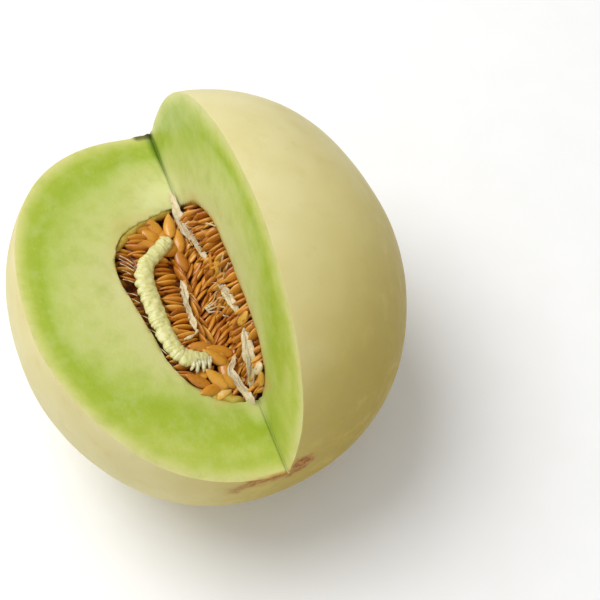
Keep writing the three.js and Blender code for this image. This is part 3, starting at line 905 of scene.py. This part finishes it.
# Distance along the melon and reach.
RIBBON_ROUTE = [
    (29.5, 11), (26, 15.4), (22.6, 21), (19, 25.8), (14, 28.2), (8, 29.4), (0, 29.6),
    (-8, 29.2), (-15, 28.6), (-21, 27.4), (-24.6, 24.6), (-26.4, 20), (-27.2, 14),
]
RIBBON_HALF_WIDTH = 4.0
RIBBON_HALF_HEIGHT = 2.3
RIBBON_LIFT = 1.0
RIBBON_ROUNDED_END = 2.4
RIBBON_SIDES = 36
RIBBON_LUMPS = (0.5, 2.3, 31), (0.22, 0.9, 32)
RIBBON_TONE = 0.4
WRINKLE_PITCH = 1.7
WRINKLE_RINGS = 12
WRINKLE_DEPTH = 0.04
LOBE_PITCH = 4.8

# Fingers that hang off the ribbon's end: reach, where each ends, how far it leans, thickness.
FINGERS = [
    (22.6, -30.6, 1.7, 0.7), (21.3, -32.2, 0.7, 0.85), (20.1, -31.0, 1.8, 0.6),
    (18.8, -32.6, 0.1, 0.9), (17.5, -31.0, 1.2, 0.65), (16.2, -32, -0.2, 0.85),
    (15, -30.4, 0.9, 0.6),
]
# Along the melon, a finger starts at FINGER_ROOT, and its middle lies halfway between
# FINGER_BEND and its end.
FINGER_ROOT = -27.4
FINGER_BEND = -29
FINGER_RINGS = 28
FINGER_SIDES = 14
FINGER_TIP = 0.75
FINGER_TONE = 1.0


def ribbon_size(length):
    """The ribbon's section: wrinkled, and lobed on the side that is left in the photo."""
    def size(u, angle):
        place = u * length
        end = np.clip(np.minimum(u, 1 - u) * length / RIBBON_ROUNDED_END, 0, 1)
        rounded = np.sqrt(np.maximum(0.0009, 1 - (1 - end) ** 2))
        taper = np.minimum(1, np.minimum(0.66 + 1.3 * u, 0.6 + 3 * (1 - u)))
        drift = 1.5 * np.sin(place / 3.1) + 1.2 * np.sin(place / 1.9 + 2)
        phase = 2 * math.pi * place / WRINKLE_PITCH + drift + 0.8 * np.sin(angle + place / 4)
        crease = WRINKLE_DEPTH * (1 + 0.9 * np.sin(place / 2.3)) * (1 + 0.8 * np.cos(angle))
        wrinkle = 1 - crease * (1 - np.abs(np.sin(phase / 2))) ** 1.6
        lobe = np.abs(np.sin(math.pi * place / LOBE_PITCH + 1.3 * np.sin(place / 5))) ** 0.55
        lobe = lobe * (0.75 + 0.35 * np.sin(place / 3.7 + 1))
        left = smooth_step(np.cos(angle), 0, 0.9)
        edge = 1 + (0.36 * lobe - 0.2) * left + 0.03 * np.sin(place * 1.9)
        swell = 1 + 0.07 * np.sin(place / 5.3 + 1)
        width = RIBBON_HALF_WIDTH * taper * wrinkle * edge * swell * rounded
        height = RIBBON_HALF_HEIGHT * np.sqrt(taper) * wrinkle * (1 + 0.06 * lobe) * rounded
        return width, height

    return size


def finger_size(thick, index):
    """A finger's section: slightly frilled, with a round tip."""
    def size(u, angle):
        past = np.clip((u - FINGER_TIP) / (1 - FINGER_TIP), 0, 1)
        frill = 1 + 0.09 * np.sin(u * 17 + index)
        width = thick * (1.1 - 0.3 * u) * np.sqrt(np.maximum(0.0025, 1 - past ** 2)) * frill
        return width, width * (1.1 - 0.4 * u)

    return size


def build_ribbon(look):
    up = left_face.up
    route = [left_face.point(y, reach, -RIBBON_LIFT) for y, reach in RIBBON_ROUTE]
    length = sum(np.linalg.norm(b - a) for a, b in zip(route, route[1:]))
    rings = int(length / WRINKLE_PITCH * WRINKLE_RINGS)
    points, faces = sweep(route, rings, RIBBON_SIDES, up, ribbon_size(length))
    points = points + up * relief(points, *RIBBON_LUMPS)[:, None]
    bodies = [(points, faces)]
    for index, (reach, end, lean, thick) in enumerate(FINGERS):
        places = [
            (FINGER_ROOT, reach - 0.6, -RIBBON_LIFT - 0.9),
            ((end + FINGER_BEND) / 2, reach + 0.4 * lean, -RIBBON_LIFT - 1.3 - 0.4 * lean),
            (end, reach + lean, -RIBBON_LIFT + 0.4),
        ]
        finger = [left_face.point(*place) for place in places]
        size = finger_size(thick, index)
        bodies.append(sweep(finger, FINGER_RINGS, FINGER_SIDES, up, size))
    tones = [RIBBON_TONE] + [FINGER_TONE] * len(FINGERS)
    build_piece("ribbon", bodies, look, "placenta_ribbon", "placenta_ribbon", tones=tones)


# -------- strands and fibres

MEMBRANE_RINGS = 120
MEMBRANE_SIDES = 30
MEMBRANE_CLOSING = 9
MEMBRANE_HALF_THICKNESS = 0.34
MEMBRANE_STEPS = 60
LONG_FIBRES = 10
LONG_FIBRE_STRIDE = 3
SHORT_FIBRES = 9
FRAY_RINGS = 18
FRAY_SIDES = 6

# Each membrane: the node it stands for, and its points as distance along the melon, reach
# from the fold, depth and half width.
MEMBRANES = [
    ("strand_stem_end", [
        *on(
            left_face, (52.6, 2.0, -0.4, 0.9), (48, 2.2, -0.6, 1.4), (43.2, 2.5, -0.8, 1.9),
            (38.4, 2.7, -1.1, 2.3), (34, 2.6, -1.4, 2.5),
        ),
        *on(
            right_face, (29.6, 2.4, -1.5, 1.7), (23.6, 5.4, -1.7, 1.1), (18, 7.8, -1.7, 1.1),
            (13.2, 9.4, -1.6, 1.4), (10, 9, -1.2, 0.9),
        ),
    ]),
    ("strand_left_bank", on(
        left_face, (9.9, 12.8, 0, 0.9), (6.7, 13.2, -0.5, 1.8), (2.4, 14, -0.8, 1.6),
        (-3.2, 15, -0.8, 1.1), (-7.6, 15, -0.6, 1.2), (-11.2, 15, -0.5, 1.7),
        (-14, 14.8, -0.2, 0.8),
    )),
    ("strand_middle", on(
        right_face, (0.6, 12.7, -1.2, 0.6), (-5.5, 16.4, -2, 1.3), (-11.2, 20, -2.5, 1.9),
        (-15.6, 21.3, -2.5, 2.1), (-19.2, 21.2, -2.1, 1.6), (-20.9, 19.4, -1.3, 0.7),
    )),
    ("strand_blossom_end", on(
        right_face, (-25.9, 19.5, -1.2, 1.1), (-29.7, 19.3, -2, 1.8), (-33.2, 18.5, -2.5, 2.6),
        (-36.7, 17, -2.7, 3), (-39.6, 14.4, -2.6, 2.5), (-41.8, 10, -2.3, 2),
        (-43.2, 4, -1.8, 1.7), (-45.2, 0.6, -1.1, 1),
    )),
    ("strand_blossom_end", on(
        left_face, (-27.6, 2, -0.5, 0.5), (-31.1, 5, -0.9, 1.1), (-34.1, 7.6, -1, 1.9),
        (-37.3, 7.6, -1, 2.2), (-40.4, 6.2, -0.9, 1.7), (-44, 5.2, -0.8, 1.6),
        (-48, 3.6, -0.6, 1.9), (-51.4, 2.2, 0.3, 1.1),
    )),
]

# Loose fibres: the points as distance along the melon, reach and depth, and half thickness.
# The first ten hang off the left bank's rim, and the rest cross the seeds.
FIBRES = [
    (on(left_face, (27.1, 34.1, 1.8), (24.2, 32.2, 0.7), (21.3, 30.3, 0.2)), 0.16),
    (on(left_face, (25.9, 34.7, 2.2), (22.6, 32.7, 0.8), (19.3, 30.6, 0.1)), 0.13),
    (on(left_face, (23.7, 34.9, 2.2), (20.7, 33.1, 0.8), (17.7, 31.3, 0.1)), 0.17),
    (on(left_face, (20.3, 35.2, 2), (18.4, 34.1, 0.8), (16.5, 33, 0.3)), 0.13),
    (on(left_face, (16.2, 36.5, 2), (14.4, 34.7, 0.8), (12.7, 32.9, 0.2)), 0.14),
    (on(left_face, (10, 37.5, 2), (8.4, 35.7, 0.8), (6.7, 33.8, 0.2)), 0.15),
    (on(left_face, (7.7, 37.1, 2), (5.4, 35.6, 0.8), (3.2, 34, 0.2)), 0.13),
    (on(left_face, (-0.6, 35.7, 2), (-2.5, 34.2, 0.8), (-4.4, 32.7, 0.2)), 0.14),
    (on(left_face, (-7.8, 33.7, 2), (-10, 32.5, 0.8), (-12.1, 31.3, 0.2)), 0.15),
    (on(left_face, (-15.5, 33.3, 1.8), (-18.3, 32.2, 0.7), (-21.2, 31, 0.2)), 0.16),
    (on(left_face, (-5.5, 7.4, -0.6), (-4.1, 2.6, -2))
     + on(right_face, (-4.6, 6, -1.6), (-9, 13, -0.8)), 0.5),
    (on(left_face, (-6.2, 7, -0.4), (-6, 2, -1.8))
     + on(right_face, (-8, 5, -1.4), (-12, 10, -0.8)), 0.4),
    (on(left_face, (-5, 7.2, -0.4), (-2.5, 2.6, -1.8))
     + on(right_face, (-1.5, 5, -1.4), (-4, 13, -0.8)), 0.34),
    (on(left_face, (-7, 6.6, -0.4), (-8.5, 2, -1.6))
     + on(right_face, (-11, 3, -1.2), (-14, 7, -0.8)), 0.3),
    (on(right_face, (33.2, 5.4, -1.2), (26.1, 15.2, -0.9), (19.1, 24.3, -0.2),
        (12.8, 31, 0.8)), 0.3),
    (on(right_face, (31.4, 4, -1.2), (24, 13.5, -0.9), (17, 21, -0.2)), 0.24),
    (on(right_face, (38, 5, -1), (32, 13, -0.7), (27, 20, 0)), 0.2),
    (on(left_face, (-13.9, 14.4, -0.4), (-15.6, 16.2, -0.9), (-16.5, 18.7, -1.1),
        (-17.1, 22, -1.0)), 0.6),
    (on(right_face, (-2, 12.6, -1), (1.5, 20, -0.7), (3, 27, 0)), 0.4),
    (on(right_face, (-5, 13, -1.2), (-2.5, 20, -0.8), (-2, 28, 0)), 0.34),
    (on(right_face, (-33, 13, -1.4), (-30, 20, -0.8), (-29, 27, 0)), 0.36),
]
FIBRE_RINGS = 28
FIBRE_SIDES = 8


def fray(places, thick):
    """One fibre that frays off a membrane, thickest a third of the way along."""
    def size(u, angle):
        half = thick * np.maximum(0.3, 1.05 - 0.75 * np.abs(2 * u - 0.6))
        return half, half * 0.8

    return sweep(places, FRAY_RINGS, FRAY_SIDES, OPENING, size)


def build_membrane(name, node, route, look, seed):
    """A torn sheet of tissue, thin at its ragged edges, with fibres fraying off it."""
    random = make_random(seed)
    halves = [half for *_, half in route]
    core = [face.point(y, reach, depth) for face, y, reach, depth, _ in route]
    up = OPENING
    out = np.cross(left_face.along, up)

    def size(u, angle):
        ragged = 1 + 0.12 * np.sin(u * 23 + seed) + 0.05 * np.sin(u * 61 + 2 * seed)
        side = np.where(np.cos(angle) > 0, ragged, 2 - ragged)
        ridges = 1 + 0.3 * np.sin(np.cos(angle) * 5 + seed) + 0.2 * np.sin(u * 21)
        narrow = closing(u, MEMBRANE_CLOSING)
        return between(u, halves) * side * narrow, MEMBRANE_HALF_THICKNESS * ridges * narrow

    points, faces = sweep(core, MEMBRANE_RINGS, MEMBRANE_SIDES, up, size)
    points = points + up * relief(points, (0.5, 3.4, seed), (0.16, 1.2, seed + 1))[:, None]
    bodies = [(points, faces)]
    dense = smooth_route(core, MEMBRANE_STEPS + 1)
    for _ in range(LONG_FIBRES):
        start = random(0, 0.5)
        stop = min(1, start + random(0.35, 0.6))
        first, last = int(start * MEMBRANE_STEPS), int(stop * MEMBRANE_STEPS)
        line = dense[first:last + 1:LONG_FIBRE_STRIDE]
        shift = random(-0.8, 0.8) * max(halves)
        drift = np.linspace(0.3, 1, len(line))[:, None] * out * shift
        arch = np.sin(np.linspace(0, math.pi, len(line)))[:, None] * up * random(0.3, 0.9)
        bodies.append(fray(line + drift + arch, random(0.22, 0.42)))
    for _ in range(SHORT_FIBRES):
        root = dense[int(random(0.08, 0.92) * MEMBRANE_STEPS)]
        away = out * random(-1, 1) + left_face.along * random(-1, 1) + up * random(-0.4, 0.1)
        reach = random(2.2, 4.6)
        middle = root + away * reach * 0.5 + up * random(0.1, 0.6)
        bodies.append(fray([root, middle, root + away * reach], random(0.16, 0.28)))
    build_piece(name, bodies, look, "strands", node)


def build_fibres(look):
    bodies = []
    for route, thick in FIBRES:
        def size(u, angle):
            return thick * (1 + 0.5 * np.cos(u * 9)), thick

        places = [face.point(*place) for face, *place in route]
        first_face = route[0][0]
        bodies.append(sweep(places, FIBRE_RINGS, FIBRE_SIDES, first_face.up, size))
    build_piece("fibres", bodies, look, "strands")


# -------- materials


def colour(shade):
    """Red, green and blue screen values from 0 to 255 as linear light, and opaque."""
    values = [value / 255 for value in shade]
    light = [v / 12.92 if v <= 0.04045 else ((v + 0.055) / 1.055) ** 2.4 for v in values]
    return (*light, 1)


class Look:
    """A material and short ways to add nodes to it. Its noises are measured in mm."""

    def __init__(self, name):
        self.material = bpy.data.materials.new(name)
        self.material.use_nodes = True
        self.tree = self.material.node_tree
        self.shader = self.tree.nodes["Principled BSDF"]

    def fill(self, node, inputs):
        """Links a node's inputs to sockets, or sets their values."""
        for key, value in inputs.items():
            if hasattr(value, "is_linked"):
                self.tree.links.new(value, node.inputs[key])
            else:
                node.inputs[key].default_value = value

    def add(self, kind, inputs, **settings):
        made = self.tree.nodes.new(kind)
        for key, value in settings.items():
            setattr(made, key, value)
        self.fill(made, inputs)
        return made

    def place(self):
        node = self.add("ShaderNodeAttribute", {}, attribute_name="melon_mm")
        return node.outputs["Vector"]

    def value(self, name):
        return self.add("ShaderNodeAttribute", {}, attribute_name=name).outputs["Fac"]

    def stretch(self, vector, scale):
        node = self.add("ShaderNodeMapping", {"Vector": vector, "Scale": scale})
        return node.outputs["Vector"]

    def noise(self, vector, size, detail, roughness=0.5):
        """Noise from 0 to 1 with lumps about that size across."""
        inputs = {"Vector": vector, "Scale": 1.0 / size, "Detail": detail, "Roughness": roughness}
        return self.add("ShaderNodeTexNoise", inputs).outputs["Fac"]

    def math(self, operation, a, b):
        return self.add("ShaderNodeMath", {0: a, 1: b}, operation=operation).outputs[0]

    def span(self, value, low, high, to_low=0.0, to_high=1.0):
        """Turns values from low to high into values from to_low to to_high."""
        inputs = {"Value": value, "From Min": low, "From Max": high}
        inputs.update({"To Min": to_low, "To Max": to_high})
        return self.add("ShaderNodeMapRange", inputs, clamp=True).outputs["Result"]

    def ramp(self, value, *stops):
        """A run of colours. A stop is its position from 0 to 1, and a screen colour."""
        made = self.add("ShaderNodeValToRGB", {"Fac": value})
        entries = made.color_ramp.elements
        for entry, (position, shade) in ((entries[0], stops[0]), (entries[1], stops[-1])):
            entry.position = position
            entry.color = colour(shade)
        for position, shade in stops[1:-1]:
            entries.new(position).color = colour(shade)
        return made.outputs["Color"]

    def tints(self, shade, *tints):
        """Brings tones into the shade, each up to its share as a value goes from low to high."""
        for tone, value, low, high, share in tints:
            tone = colour(tone) if isinstance(tone, tuple) else tone
            inputs = {"Factor": self.span(value, low, high, 0, share), "A": shade, "B": tone}
            shade = self.add("ShaderNodeMix", inputs, data_type="RGBA").outputs["Result"]
        return shade

    def bump(self, height, distance, strength):
        inputs = {"Height": height, "Distance": distance, "Strength": strength}
        normal = self.add("ShaderNodeBump", inputs).outputs["Normal"]
        self.fill(self.shader, {"Normal": normal})

    def base(self, shade, roughness):
        self.fill(self.shader, {"Base Color": shade, "Roughness": roughness})

    def translucent(self, weight, radius, scale):
        for key, value in (("Weight", weight), ("Radius", radius), ("Scale", scale)):
            self.shader.inputs["Subsurface " + key].default_value = value


def rind_look():
    look = Look("rind")
    place = look.place()
    broad = look.noise(place, 38, 2)
    blotch = look.noise(place, 11, 4, 0.6)
    fine = look.noise(place, 1.7, 3, 0.6)
    shade = look.ramp(
        look.span(broad, 0.3, 0.7),
        (0.0, (214, 201, 136)), (0.5, (221, 210, 150)), (1.0, (226, 216, 162)),
    )
    # Painted shade: towards its shaded side the rind turns darker and more olive, in uneven
    # blotches.
    uneven = look.math("MULTIPLY", look.span(blotch, 0, 1, -0.5, 0.5), 0.5)
    shaded_olive = look.math("ADD", look.value("shaded_olive"), uneven)
    shaded_olive_colour = look.ramp(
        look.span(shaded_olive, 0.3, 1.0),
        (0.0, (212, 194, 104)), (0.5, (192, 168, 52)), (1.0, (172, 146, 22)),
    )
    cork_shade = look.ramp(
        look.noise(place, 2.2, 4, 0.7),
        (0.32, (112, 58, 2)), (0.45, (152, 94, 16)), (0.58, (184, 130, 46)),
        (0.74, (210, 160, 92)),
    )
    scar_shade = look.ramp(
        look.noise(place, 1.4, 4, 0.7),
        (0.3, (48, 42, 8)), (0.5, (92, 78, 26)), (0.7, (152, 132, 74)),
    )
    shade = look.tints(
        shade,
        # painted shade on the rind's shaded side
        (shaded_olive_colour, shaded_olive, 0.1, 1.0, 1),
        ((226, 216, 160), blotch, 0.45, 0.75, 0.22),
        ((204, 184, 92), blotch, 0.45, 0.25, 0.3),
        ((198, 172, 92), fine, 0.66, 0.8, 0.35),
        ((186, 142, 62), look.value("cork_edge"), 0, 1, 0.7),
        (cork_shade, look.value("cork"), 0.1, 0.8, 1),
        (scar_shade, look.value("scar"), 0.1, 0.7, 1),
    )
    look.base(shade, look.span(look.noise(place, 5, 3), 0.3, 0.7, 0.38, 0.52))
    look.fill(look.shader, {"Specular IOR Level": 0.16})
    look.translucent(0.12, (1.0, 0.8, 0.4), 0.003)
    height = look.math("ADD", look.math("MULTIPLY", fine, 0.25), look.noise(place, 6, 2))
    look.bump(height, 0.00012, 0.6)
    return look.material


def flesh_look():
    look = Look("flesh")
    place = look.place()
    shade = look.ramp(
        look.math("DIVIDE", look.value("paleness"), 50.0),
        (0.0, (212, 206, 146)), (0.03, (208, 208, 130)), (0.07, (192, 201, 98)),
        (0.12, (172, 189, 68)), (0.22, (164, 185, 60)), (0.36, (182, 197, 94)),
        (0.56, (198, 205, 122)), (0.8, (206, 209, 136)), (1.0, (222, 224, 166)),
    )
    cloudy = look.noise(place, 8, 4, 0.6)
    grain = look.noise(look.stretch(place, (1, 0.6, 1)), 1.1, 3, 0.6)
    shade = look.tints(
        shade,
        ((210, 207, 146), look.value("creamy"), 0, 1, 0.75),
        ((214, 217, 160), cloudy, 0.48, 0.8, 0.35),
        ((150, 174, 46), cloudy, 0.5, 0.22, 0.35),
        ((228, 230, 186), grain, 0.6, 0.85, 0.25),
        # a real brown stain along the cavity's rim, with painted shade along its upper-left part
        ((204, 172, 96), look.value("rim_brown"), 0, 1, 0.6),
        # painted shade in the slit along the fold
        ((92, 126, 10), look.value("slit"), 0, 1, 0.9),
        ((200, 160, 70), look.value("cork_edge"), 0.1, 1, 0.55),
        ((150, 96, 34), look.value("cork"), 0.3, 1, 0.8),
        ((62, 58, 12), look.value("scar"), 0.2, 1, 0.95),
    )
    look.base(shade, look.span(grain, 0.3, 0.7, 0.32, 0.46))
    look.fill(look.shader, {"Specular IOR Level": 0.22})
    look.translucent(0.35, (1.0, 1.0, 0.35), 0.005)
    height = look.math("ADD", look.math("MULTIPLY", grain, 0.5), cloudy)
    look.bump(height, 0.00025, 0.7)
    return look.material


def seed_look():
    look = Look("seed")
    place = look.place()
    streak = look.noise(place, 2.4, 3, 0.6)
    own = look.math("MULTIPLY", look.value("tone"), 0.6)
    shade = look.ramp(
        look.math("ADD", own, look.math("MULTIPLY", streak, 0.3)),
        (0.0, (140, 78, 20)), (0.25, (178, 106, 30)), (0.45, (202, 134, 44)),
        (0.65, (218, 154, 50)), (0.85, (230, 180, 80)), (1.0, (236, 220, 180)),
    )
    look.base(shade, look.span(streak, 0.3, 0.7, 0.24, 0.38))
    look.translucent(0.15, (1.0, 0.5, 0.2), 0.002)
    look.fill(look.shader, {"Coat Weight": 0.2, "Coat Roughness": 0.15})
    look.bump(look.noise(place, 0.8, 3), 0.0001, 0.5)
    return look.material


def pulp_look():
    look = Look("pulp")
    wet = look.noise(look.place(), 3.0, 4, 0.65)
    # The pulp's own red-brown, with its darkest tones painted shade in the gaps between the
    # seeds.
    shade = look.ramp(wet, (0.25, (70, 30, 10)), (0.5, (124, 64, 26)), (0.75, (184, 118, 66)))
    look.base(shade, 0.3)
    look.translucent(0.25, (1.0, 0.5, 0.25), 0.003)
    look.bump(wet, 0.0006, 0.8)
    return look.material


def lining_look():
    look = Look("lining")
    soft = look.noise(look.place(), 3.0, 4, 0.6)
    # The tissue's own yellow, darkened towards brown as painted shade under the cavity's rim.
    shade = look.ramp(soft, (0.3, (172, 128, 36)), (0.5, (190, 164, 66)), (0.7, (202, 188, 96)))
    look.base(shade, 0.42)
    look.translucent(0.3, (1.0, 0.8, 0.4), 0.003)
    look.bump(soft, 0.0003, 0.7)
    return look.material


def ribbon_look():
    look = Look("ribbon")
    place = look.place()
    cloudy = look.noise(place, 2.2, 4, 0.6)
    shade = look.ramp(
        cloudy, (0.3, (204, 202, 130)), (0.5, (218, 214, 152)), (0.72, (228, 222, 174))
    )
    shade = look.tints(shade, ((230, 220, 178), look.value("tone"), 0.6, 1.0, 0.8))
    look.base(shade, look.span(cloudy, 0.3, 0.7, 0.3, 0.45))
    look.translucent(0.4, (1.0, 0.9, 0.4), 0.003)
    look.bump(look.noise(place, 0.7, 3), 0.00015, 0.6)
    return look.material


def strand_look():
    look = Look("strand")
    fibres = look.noise(look.stretch(look.place(), (3.0, 0.5, 3.0)), 1.6, 4, 0.65)
    shade = look.ramp(
        fibres, (0.25, (200, 168, 112)), (0.5, (222, 204, 160)), (0.75, (236, 226, 196))
    )
    look.base(shade, 0.38)
    look.translucent(0.4, (1.0, 0.85, 0.6), 0.002)
    look.bump(fibres, 0.0003, 0.8)
    return look.material


def floor_look():
    """A plain floor, whose noise is measured in metres."""
    look = Look("floor")
    faint = look.noise(look.add("ShaderNodeTexCoord", {}).outputs["Object"], 0.02, 2)
    look.base(look.ramp(faint, (0.3, (250, 250, 249)), (0.7, (252, 252, 252))), 0.7)
    return look.material


# -------- studio

FLOOR_HALF_SIZE = 4.0
SKY_STRENGTH = 0.5
LAMP_AIM = (0, 0, 0.08)

# Each lamp's name, place and width in metres, and power in watts.
LAMPS = [
    ("key", (-0.46, 0.2, 1.25), 0.9, 12),
    ("fill", (-0.7, -0.5, 1.05), 1.0, 1.1),
]


def add_lamp(name, location, size, power):
    data = bpy.data.lights.new(name, "AREA")
    data.shape = "DISK"
    data.size = size
    data.energy = power
    lamp = add_object(name, data)
    lamp.location = location
    direction = Vector(LAMP_AIM) - Vector(location)
    lamp.rotation_euler = direction.to_track_quat("-Z", "Y").to_euler()


def add_studio():
    half = FLOOR_HALF_SIZE
    corners = [(-half, -half, 0), (half, -half, 0), (half, half, 0), (-half, half, 0)]
    mesh = bpy.data.meshes.new("floor")
    mesh.from_pydata(corners, [], [(0, 1, 2, 3)])
    mesh.materials.append(floor_look())
    floor = add_object("floor", mesh)
    for lamp in LAMPS:
        add_lamp(*lamp)
    world = bpy.data.worlds.new("studio")
    world.use_nodes = True
    sky = world.node_tree.nodes["Background"]
    sky.inputs["Color"].default_value = (1, 1, 1, 1)
    sky.inputs["Strength"].default_value = SKY_STRENGTH
    bpy.context.scene.world = world
    bpy.context.scene.view_settings.view_transform = "Standard"


# -------- the whole melon

LEFT_SEED = 11
RIGHT_SEED = 29
RIGHT_PALER = 0.2
FIRST_MEMBRANE_SEED = 40

add_camera()
build_melon(rind_look(), flesh_look())
bank_looks = (seed_look(), pulp_look())
build_bank(
    "left", left_face, left_pulp_outline(), LEFT_ROWS, LEFT_LOOSE, LEFT_SEED, 0, *bank_looks
)
build_bank(
    "right", right_face, right_pulp_outline(), RIGHT_ROWS, RIGHT_LOOSE, RIGHT_SEED, RIGHT_PALER,
    *bank_looks,
)
build_lining(lining_look())
build_ribbon(ribbon_look())
strand_material = strand_look()
for index, (node, route) in enumerate(MEMBRANES):
    seed = FIRST_MEMBRANE_SEED + index
    build_membrane(f"membrane_{index}", node, route, strand_material, seed)
build_fibres(strand_material)
add_studio()
